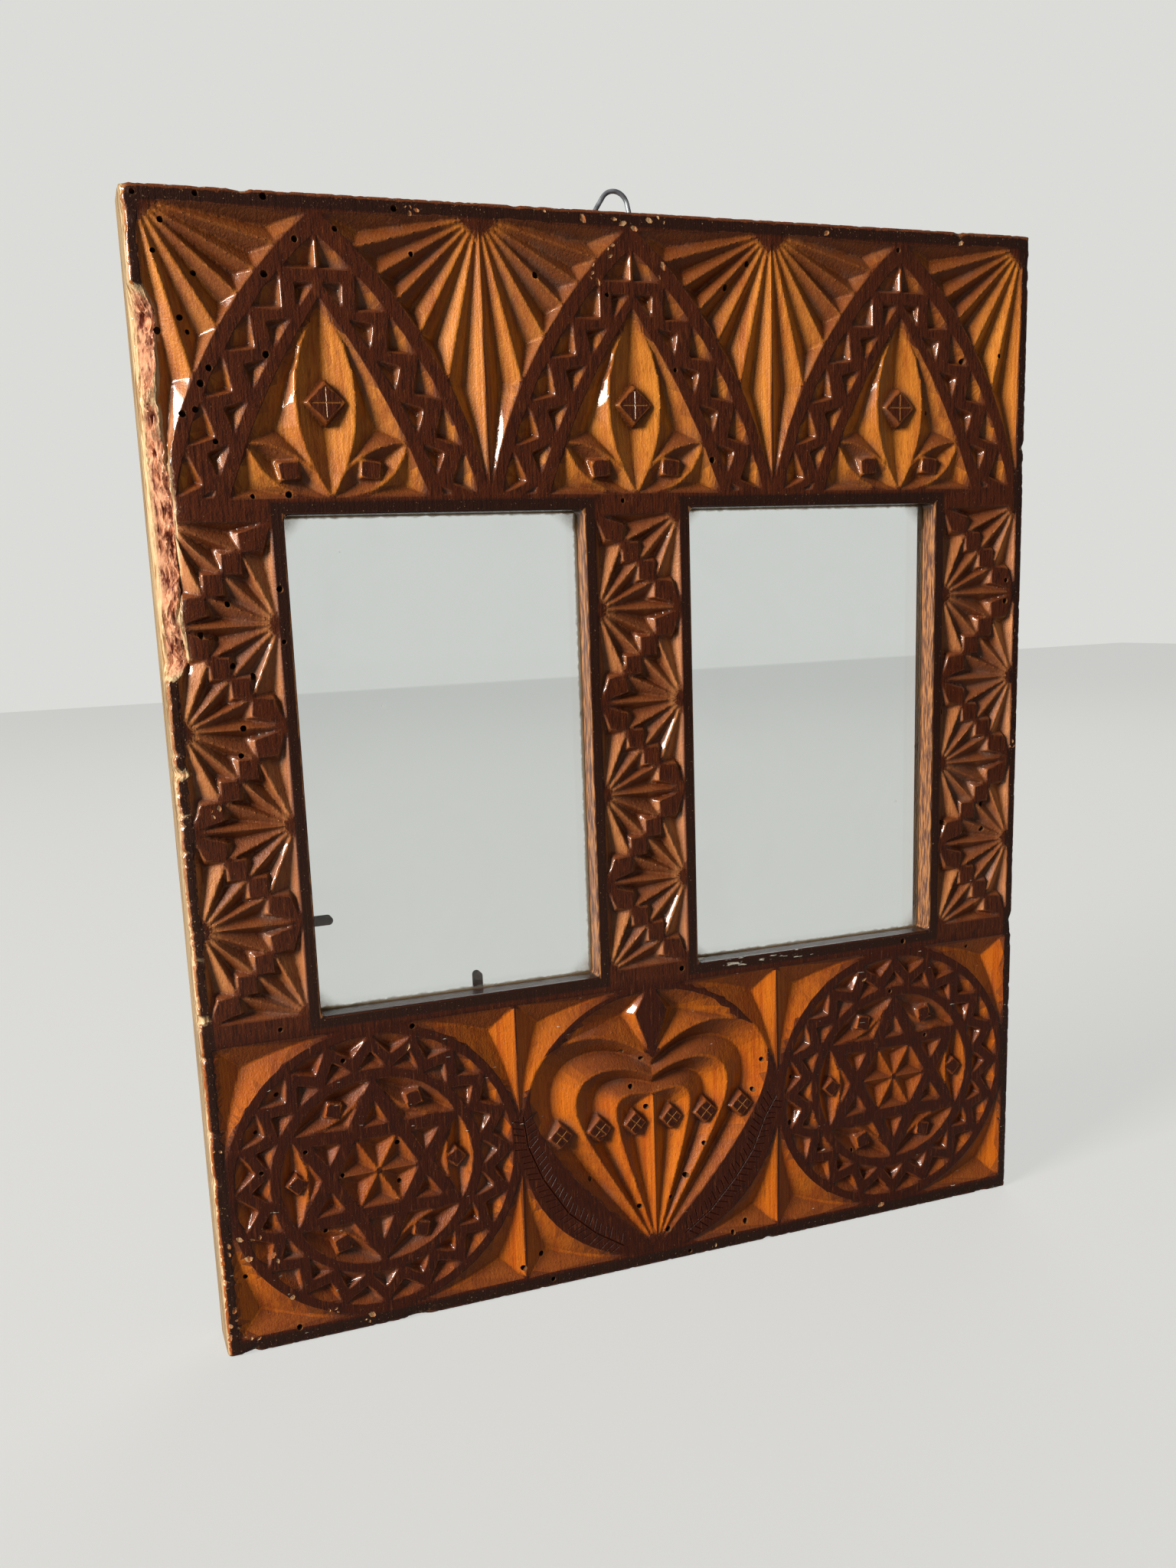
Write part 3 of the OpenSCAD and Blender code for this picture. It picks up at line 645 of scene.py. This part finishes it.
def makeWood():
    look = woodLook
    material, tree, shader = newMaterial("varnishedFruitwood")
    place = addNode(tree, "TexCoord", output="Object")
    spot = addNode(tree, "SeparateXYZ", {"Vector": place}).node.outputs
    value = {axis: spot[axis] for axis in "XYZ"}
    for name in ("uncut", "glazed", "endGrain", "rawSide", "unfinished", "bare", "gnawed", *cutSlots):
        value[name] = addNode(tree, "Attribute", output="Fac", attribute_name=name)
    for name, (across, along, detail) in look["patterns"].items():
        perMetre = (1 / mm / across, 1 / mm / across, 1 / mm / along)
        scaled = addNode(tree, "Mapping", {"Vector": place, "Scale": perMetre})
        value[name] = addNode(tree, "TexNoise", {"Vector": scaled, "Scale": 1.0, "Detail": detail, "Roughness": 0.55})
    # dust lies where little air reaches, dark wax with painted shade at the bottom of each cut and in the hollows, and
    # crests stand out to be rubbed
    for name, (reach, inwards, *ends) in look["hollows"].items():
        within = {"Distance": reach * mm}
        value[name] = addNode(tree, "AmbientOcclusion", within, "AO", samples=3, only_local=True, inside=inwards)
        addSteps(tree, value, [(name, "RANGE", name, ends)])

    middle, halfWide, centre, halfHigh = [size * mm for size in plank["sight"]]
    redBelow, redAbove, paintTop = [z * mm for z in look["sill"]]
    barBelow, barAbove = [z * mm for z in look["bars"]]
    paintFrom, paintFull, paintLess, paintEnd = [x * mm for x in look["painted"]]
    addSteps(tree, value, (
        # how far a point is from the openings, the rim and the face, in metres
        ("x", "ABSOLUTE", "X", 0.0),
        ("toSide", "SUBTRACT", "x", middle),
        ("toSide", "ABSOLUTE", "toSide", 0.0),
        ("toSide", "SUBTRACT", "toSide", halfWide),
        ("toEnd", "SUBTRACT", "Z", centre),
        ("toEnd", "ABSOLUTE", "toEnd", 0.0),
        ("toEnd", "SUBTRACT", "toEnd", halfHigh),
        ("toOpening", "MAXIMUM", "toSide", "toEnd"),
        ("toRim", "SUBTRACT", plank["side"] * mm, "x"),
        ("toTop", "SUBTRACT", plank["top"] * mm, "Z"),
        ("toRim", "MINIMUM", "toRim", "toTop"),
        ("toRim", "MINIMUM", "toRim", "Z"),
        ("below", "SUBTRACT", "Y", plank["front"] * mm),
        # the plain strips round the openings and along the rim are nearly black
        ("strip", "SUBTRACT", "toRim", 0.0008),
        ("strip", "MINIMUM", "toOpening", "strip"),
        ("strip", "RANGE", "strip", [end * mm for end in look["strip"]]),
        # below the openings the wood is redder and darker, partly its varnish and partly painted shade of weaker
        # light; the bars beside them are browner
        ("red", "RANGE", "Z", (redAbove, redBelow)),
        ("brown", "RANGE", "Z", (barAbove, barBelow)),
        # grain, and dust in the hollows
        ("streaks", "MULTIPLY", "grain", 0.62),
        ("broad", "MULTIPLY", "figure", 0.5),
        ("streaks", "ADD", "streaks", "broad"),
        ("patches", "RANGE", "mottle", (0.36, 0.62)),
        ("dusty", "MULTIPLY", "glazed", 0.85),
        ("dusty", "MAXIMUM", "patches", "dusty"),
        ("dusty", "MULTIPLY", "hollow", "dusty"),
        # crests are rubbed in patches, and less where the glaze or the stain is thick
        ("flatShield", "MULTIPLY", "uncut", 0.75),
        ("stripShield", "MULTIPLY", "strip", 0.85),
        ("pitShield", "MULTIPLY", "glazed", 0.75),
        ("stainShield", "MULTIPLY", "endGrain", 0.8),
        ("shield", "MAXIMUM", "flatShield", "stripShield"),
        ("pitShield", "MAXIMUM", "pitShield", "stainShield"),
        ("shield", "MAXIMUM", "shield", "pitShield"),
        ("open", "SUBTRACT", 1.0, "shield"),
        ("rubbed", "RANGE", "mottle", (0.3, 0.55)),
        ("rubbed", "MULTIPLY", "rubbed", 0.8),
        ("rubbed", "ADD", "rubbed", 0.2),
        ("rubbed", "MULTIPLY", "rubbed", "open"),
        ("rubbed", "MULTIPLY", "rubbed", "crest"),
        # fine specks where the varnish is off, most of them in the strips
        ("specks", "RANGE", "speck", (0.66, 0.74)),
        ("speckled", "MAXIMUM", "strip", 0.45),
        ("speckled", "MULTIPLY", "specks", "speckled"),
        # sides of the openings, paler where worn, with the head and foot dark
        ("atReveal", "RANGE", "toOpening", (0.0006, 0.0002)),
        ("someGrain", "MULTIPLY", "grain", 0.3),
        ("revealWear", "ADD", "scuff", "someGrain"),
        ("upright", "SUBTRACT", "toSide", "toEnd"),
        ("upright", "RANGE", "upright", (-0.0005, 0.0)),
        # flecks of white paint lie under the right opening, and a few more on the panel below
        ("beside", "RANGE", "X", (paintFrom, paintFull)),
        ("before", "RANGE", "X", (paintEnd, paintLess)),
        ("flecked", "MULTIPLY", "beside", "before"),
        ("flecked", "MULTIPLY", "flecked", 0.19),
        ("above", "RANGE", "Z", (redAbove - 0.001, redAbove)),
        ("under", "RANGE", "Z", (paintTop + 0.0003, paintTop)),
        ("flecked", "MULTIPLY", "flecked", "above"),
        ("flecked", "MULTIPLY", "flecked", "under"),
        ("few", "MULTIPLY", "red", 0.06),
        ("flecked", "MAXIMUM", "flecked", "few"),
        ("flecked", "ADD", "fleck", "flecked"),
        # sides of the plank behind its front edge, and nicks in that edge
        ("atSide", "RANGE", "toRim", (0.0006, 0.0002)),
        ("behind", "RANGE", "below", (0.0004, 0.0016)),
        ("atSide", "MULTIPLY", "atSide", "behind"),
        ("someScuff", "MULTIPLY", "scuff", 0.3),
        ("sideWear", "ADD", "streaks", "someScuff"),
        ("nearEdge", "MULTIPLY", "below", 0.7),
        ("nearEdge", "ADD", "toRim", "nearEdge"),
        ("nearEdge", "RANGE", "nearEdge", (0.0016, 0.0006)),
        ("nicked", "MULTIPLY", "nearEdge", "nicks"),
        # raw wood of the left side, and the eaten wood
        ("raw", "MAXIMUM", "rawSide", "bare"),
        ("bites", "MULTIPLY", "nicks", 0.6),
        ("eaten", "MULTIPLY", "scuff", 0.5),
        ("eaten", "ADD", "bites", "eaten"),
        # where there is no varnish
        ("plain", "MAXIMUM", "bare", "unfinished"),
        ("holed", "MAXIMUM", "worm", "chipped"),
        ("plain", "MAXIMUM", "plain", "holed"),
        ("scored", "MULTIPLY", "knife", 0.8),
        ("plain", "MAXIMUM", "plain", "scored"),
        ("thick", "MULTIPLY", "glazed", 0.4),
        ("thin", "SUBTRACT", "plain", "thick"),
        # grain, specks and broad waves in the surface
        ("ridges", "MULTIPLY", "grain", 0.8),
        ("bumps", "MULTIPLY", "speck", 0.8),
        ("waves", "MULTIPLY", "mottle", 2.0),
        ("relief", "ADD", "ridges", "bumps"),
        ("relief", "ADD", "relief", "waves"),
    ))
    colour = dict(look["colours"])
    addCoats(tree, value, colour, (
        # cut wood, by its place and its grain
        ("dark", "cutDark", "barDark", "brown", None, 1.0),
        # redder and darker below the openings, partly painted shade
        ("dark", "dark", "sillDark", "red", None, 1.0),
        ("light", "cutLight", "barLight", "brown", None, 1.0),
        ("light", "light", "sillLight", "red", None, 1.0),
        ("cut", "dark", "light", "streaks", (0.3, 0.72), 1.0),
        ("cut", "cut", "dark", "patches", None, 0.3),
        ("cut", "cut", "endGrain", "endGrain", (0.1, 0.5), 0.88),
        ("cut", "cut", "pore", "pores", (0.6, 0.7), 0.35),
        ("cut", "cut", "pooled", "glazed", None, 0.92),
        # painted shade with dark wax along the creases
        ("cut", "cut", "valley", "valley", None, 0.8),
        # painted shade with dark wax, deeper in the hollows
        ("cut", "cut", "hollowWaxAndShade", "hollow", (0.1, 1.0), 0.85),
        ("cut", "cut", "dust", "dusty", (0.35, 0.95), 0.42),
        # glaze on the flats
        # darker glaze below the openings, partly painted shade
        ("glaze", "glaze", "sillGlaze", "red", None, 1.0),
        ("glaze", "glaze", "glazeLight", "scuff", (0.55, 0.75), 0.6),
        ("glaze", "glaze", "glazeDark", "pores", (0.5, 0.66), 0.75),
        ("glaze", "glaze", "border", "strip", None, 0.9),
        ("wood", "cut", "glaze", "uncut", (0.1, 0.7), 1.0),
        # wear and knife marks
        ("wood", "wood", "crest", "rubbed", None, 0.38),
        ("wood", "wood", "chip", "speckled", None, 0.6),
        ("wood", "wood", "crest", "knife", None, 0.45),
        # fern cuts get the same dark of wax and painted shade
        ("wood", "wood", "valley", "fern", None, 0.85),
        # sides of the openings and of the plank
        ("reveal", "reveal", "revealWorn", "revealWear", (0.56, 0.78), 1.0),
        ("reveal", "border", "reveal", "upright", None, 1.0),
        ("wood", "wood", "reveal", "atReveal", None, 1.0),
        ("wood", "wood", "paint", "flecked", (0.82, 0.84), 0.9),
        ("side", "side", "sideWorn", "sideWear", (0.66, 0.95), 0.65),
        ("wood", "wood", "side", "atSide", None, 1.0),
        ("wood", "wood", "chip", "nicked", (0.56, 0.6), 0.9),
        # bare wood of the left side, the gnawed edge, the back and the holes
        ("raw", "rawDark", "rawLight", "grain", (0.35, 0.6), 1.0),
        ("wood", "wood", "raw", "raw", None, 0.9),
        ("gnawed", "gnawedDark", "gnawedLight", "eaten", (0.42, 0.62), 1.0),
        ("wood", "wood", "gnawed", "gnawed", None, 1.0),
        ("back", "backDark", "backLight", "streaks", (0.42, 0.72), 1.0),
        ("back", "back", "pore", "pores", (0.58, 0.7), 0.6),
        ("wood", "wood", "back", "unfinished", None, 1.0),
        ("chipped", "cutDark", "chip", "scuff", (0.35, 0.6), 1.0),
        ("wood", "wood", "chipped", "chipped", None, 1.0),
        ("wood", "wood", "hole", "worm", None, 1.0),
    ))
    smooth, bare = look["rough"]
    rough = addNode(tree, "MapRange", {"Value": value["plain"], "To Min": smooth, "To Max": bare})
    coated = {"Value": value["thin"], "From Min": -0.4, "To Min": look["coat"], "To Max": 0.0}
    coat = addNode(tree, "MapRange", coated)
    relief = {"Height": value["relief"], "Strength": 0.6, "Distance": look["relief"] * mm}
    bump = addNode(tree, "Bump", relief)
    finish(tree, shader, {"Base Color": colour["wood"], "Roughness": rough, "Coat Weight": coat, "Normal": bump},
           IOR=1.5, Coat_Roughness=0.07, Coat_IOR=1.5, Specular_IOR_Level=0.22)
    return material


carvedPlank = makePlank(makeWood())
print("carved plank", len(carvedPlank.data.polygons))

# Old window glass: clear, with brown grime where it meets the wood and a few specks
glassLook = {
    "tint": "#eef2f0",
    "grime": "#7d6444",
    "edge": 0.9,  # width in mm of the grime along the wood
    "corner": 9.0,
    "haze": 0.03,
}


def makeGlass():
    look = glassLook
    material, tree, shader = newMaterial("oldWindowGlass")
    place = addNode(tree, "TexCoord", output="Object")
    spot = addNode(tree, "SeparateXYZ", {"Vector": place}).node.outputs
    value = {"X": spot["X"], "Z": spot["Z"]}
    value["patchy"] = addNode(tree, "TexNoise", {"Vector": place, "Scale": 420.0, "Detail": 5.0})
    middle, halfWide, centre, halfHigh = [size * mm for size in plank["sight"]]
    addSteps(tree, value, (
        # how far a point is from the wood at its sides and ends, in metres
        ("across", "ABSOLUTE", "X", 0.0),
        ("across", "SUBTRACT", "across", middle),
        ("across", "ABSOLUTE", "across", 0.0),
        ("toSide", "SUBTRACT", halfWide, "across"),
        ("toSide", "MAXIMUM", "toSide", 0.0),
        ("upright", "SUBTRACT", "Z", centre),
        ("upright", "ABSOLUTE", "upright", 0.0),
        ("toEnd", "SUBTRACT", halfHigh, "upright"),
        ("toEnd", "MAXIMUM", "toEnd", 0.0),
        # grime in a ragged band along the wood, and in the corners
        ("band", "SUBTRACT", "patchy", 0.15),
        ("band", "MULTIPLY", "band", look["edge"] * 2.4 * mm),
        ("toWood", "MINIMUM", "toSide", "toEnd"),
        ("edge", "DIVIDE", "toWood", "band"),
        ("corner", "ADD", "toSide", "toEnd"),
    ))
    for name, reach in (("edge", 1.0), ("corner", look["corner"] * mm)):
        fading = {"Value": value[name], "From Max": reach, "To Min": 0.5, "To Max": 0.0}
        value[name] = addNode(tree, "MapRange", fading, interpolation_type="SMOOTHSTEP")
    specks = addNode(tree, "TexVoronoi", {"Vector": place, "Scale": 55.0}, output="Distance")
    fading = {"Value": specks, "From Min": 0.018, "From Max": 0.026, "To Min": 0.8, "To Max": 0.0}
    value["speck"] = addNode(tree, "MapRange", fading)
    smear = addNode(tree, "TexNoise", {"Vector": place, "Scale": 34.0, "Detail": 6.0, "Distortion": 1.4})
    hazy = {"Value": smear, "From Min": 0.35, "From Max": 0.75, "To Max": look["haze"]}
    value["haze"] = addNode(tree, "MapRange", hazy)
    addSteps(tree, value, (
        ("corner", "MULTIPLY", "corner", "patchy"),
        ("grime", "ADD", "edge", "corner"),
        ("cover", "MAXIMUM", "grime", "haze"),
        ("cover", "MAXIMUM", "cover", "speck"),
        ("clear", "SUBTRACT", 1.0, "cover"),
        ("stain", "MULTIPLY", "grime", 2.0),
    ))
    colour = addNode(tree, "Mix", {0: value["stain"], 6: look["tint"], 7: look["grime"]}, 2, data_type="RGBA")
    rough = addNode(tree, "MapRange", {"Value": value["cover"], "To Min": 0.02, "To Max": 0.5})
    finish(tree, shader, {"Base Color": colour, "Transmission Weight": value["clear"], "Roughness": rough}, IOR=1.5)
    return material


def dress(names, material):
    # gives solids that keep their shape their material
    for name in names:
        nodes[name].data.materials.clear()
        nodes[name].data.materials.append(material)


dress(("left_glass", "right_glass"), makeGlass())
print("glass")

# Cut iron nails: near black with brown rust in spots and no shine to speak of
ironLook = {"dark": "#2a2624", "rust": "#5d3a26", "worn": "#77716c", "spot": 0.7}


def makeIron():
    look = ironLook
    material, tree, shader = newMaterial("rustedCutIron")
    place = addNode(tree, "TexCoord", output="Object")
    spots = addNode(tree, "TexNoise", {"Vector": place, "Scale": 1000 / look["spot"], "Detail": 4.0})
    rusty = addNode(tree, "MapRange", {"Value": spots, "From Min": 0.38, "From Max": 0.6})
    colour = addNode(tree, "Mix", {0: rusty, 6: look["dark"], 7: look["rust"]}, 2, data_type="RGBA")
    rubbed = addNode(tree, "MapRange", {"Value": spots, "From Min": 0.62, "From Max": 0.72})
    colour = addNode(tree, "Mix", {0: rubbed, 6: colour, 7: look["worn"]}, 2, data_type="RGBA")
    relief = addNode(tree, "Bump", {"Height": spots, "Strength": 0.6, "Distance": 0.0002})
    finish(tree, shader, {"Base Color": colour, "Normal": relief}, Metallic=0.6, Roughness=0.55)
    return material


dress(("side_brad", "bottom_brad", "left_hidden_brads", "right_hidden_brads"), makeIron())
print("nails")

# Drawn steel wire: dull grey, darker where it has tarnished
wireLook = {"bright": "#b4b9c0", "dull": "#74787e", "patch": 2.5}


def makeWire():
    look = wireLook
    material, tree, shader = newMaterial("drawnSteelWire")
    place = addNode(tree, "TexCoord", output="Object")
    patch = addNode(tree, "TexNoise", {"Vector": place, "Scale": 1000 / look["patch"], "Detail": 5.0})
    tarnish = addNode(tree, "MapRange", {"Value": patch, "From Min": 0.35, "From Max": 0.65})
    colour = addNode(tree, "Mix", {0: tarnish, 6: look["dull"], 7: look["bright"]}, 2, data_type="RGBA")
    rough = addNode(tree, "MapRange", {"Value": patch, "To Min": 0.3, "To Max": 0.5})
    finish(tree, shader, {"Base Color": colour, "Roughness": rough}, Metallic=0.6)
    return material


dress(("hanger_loop", "hanger_staples"), makeWire())
print("hanging loop")

# Studio: a pale floor and air, a wide soft window of light from the left, a weak fill and a lamp behind. In metres
studio = {
    "floor": "#5e5e5c",
    "floorGlow": "#f4f4f1",
    "floorLift": 0.63,
    "size": 3.0,
    "aim": (0, 0, 0.15),
    "keyPlace": (-1.95, -0.63, 0.945),
    "keySize": (0.68, 0.9),
    "keyPower": 90.0,
    "fillPlace": (0.5, -1.2, 0.6),
    "fillPower": 0.5,
    "backPlace": (0.8, 1.1, 1.4),
    "backPower": 14.0,
    "lampSize": (1.0, 1.0),
    "airColour": "#f6f6f3",
    "air": 0.13,
    "airShine": 0.08,
    "airSeen": 0.77,
}


def addLamp(name, place, size, power, colour, shines=True):
    data = bpy.data.lights.new(name, "AREA")
    data.shape = "RECTANGLE"
    data.size, data.size_y = size
    data.energy = power
    data.color = hexColour(colour)[:3]
    lamp = bpy.data.objects.new(name, data)
    lamp.visible_glossy = shines
    lamp.visible_camera = False
    bpy.context.scene.collection.objects.link(lamp)
    aim = Vector(studio["aim"]) - Vector(place)
    lamp.matrix_world = Matrix.Translation(place) @ aim.to_track_quat("-Z", "Y").to_matrix().to_4x4()


def backgroundLevel(tree, lighting, shining, seen):
    # how bright it is for rays that light the frame, that shine on it and that show the background
    camera = addNode(tree, "LightPath", output="Is Camera Ray")
    path = camera.node
    clear = addNode(tree, "Math", {0: camera, 1: path.outputs["Is Transmission Ray"]}, operation="MAXIMUM")
    shine = addNode(tree, "MapRange", {"Value": path.outputs["Is Glossy Ray"], "To Min": lighting, "To Max": shining})
    return addNode(tree, "Mix", {0: clear, 2: shine, 3: seen})


def makeStudio():
    look = studio
    material, tree, shader = newMaterial("paleMattPaint")
    lift = backgroundLevel(tree, 0.0, 0.0, look["floorLift"])
    finish(tree, shader, {"Emission Strength": lift}, Base_Color=hexColour(look["floor"]), Roughness=0.8,
           Emission_Color=hexColour(look["floorGlow"]))
    bm = bmesh.new()
    bmesh.ops.create_grid(bm, x_segments=1, y_segments=1, size=look["size"])
    makeObject("floor", meshFrom("floor", bm), material)
    world = bpy.data.worlds.new("studio")
    bpy.context.scene.world = world
    world.use_nodes = True
    tree = world.node_tree
    strength = backgroundLevel(tree, look["air"], look["airShine"], look["airSeen"])
    tree.links.new(strength, tree.nodes["Background"].inputs["Strength"])
    tree.nodes["Background"].inputs["Color"].default_value = hexColour(look["airColour"])
    addLamp("window", look["keyPlace"], look["keySize"], look["keyPower"], "#fffaf2")
    addLamp("fill", look["fillPlace"], look["lampSize"], look["fillPower"], "#fbfbff", False)
    addLamp("back", look["backPlace"], look["lampSize"], look["backPower"], "#ffffff", False)
    bpy.context.scene.view_settings.view_transform = "Standard"


makeStudio()
print("studio")
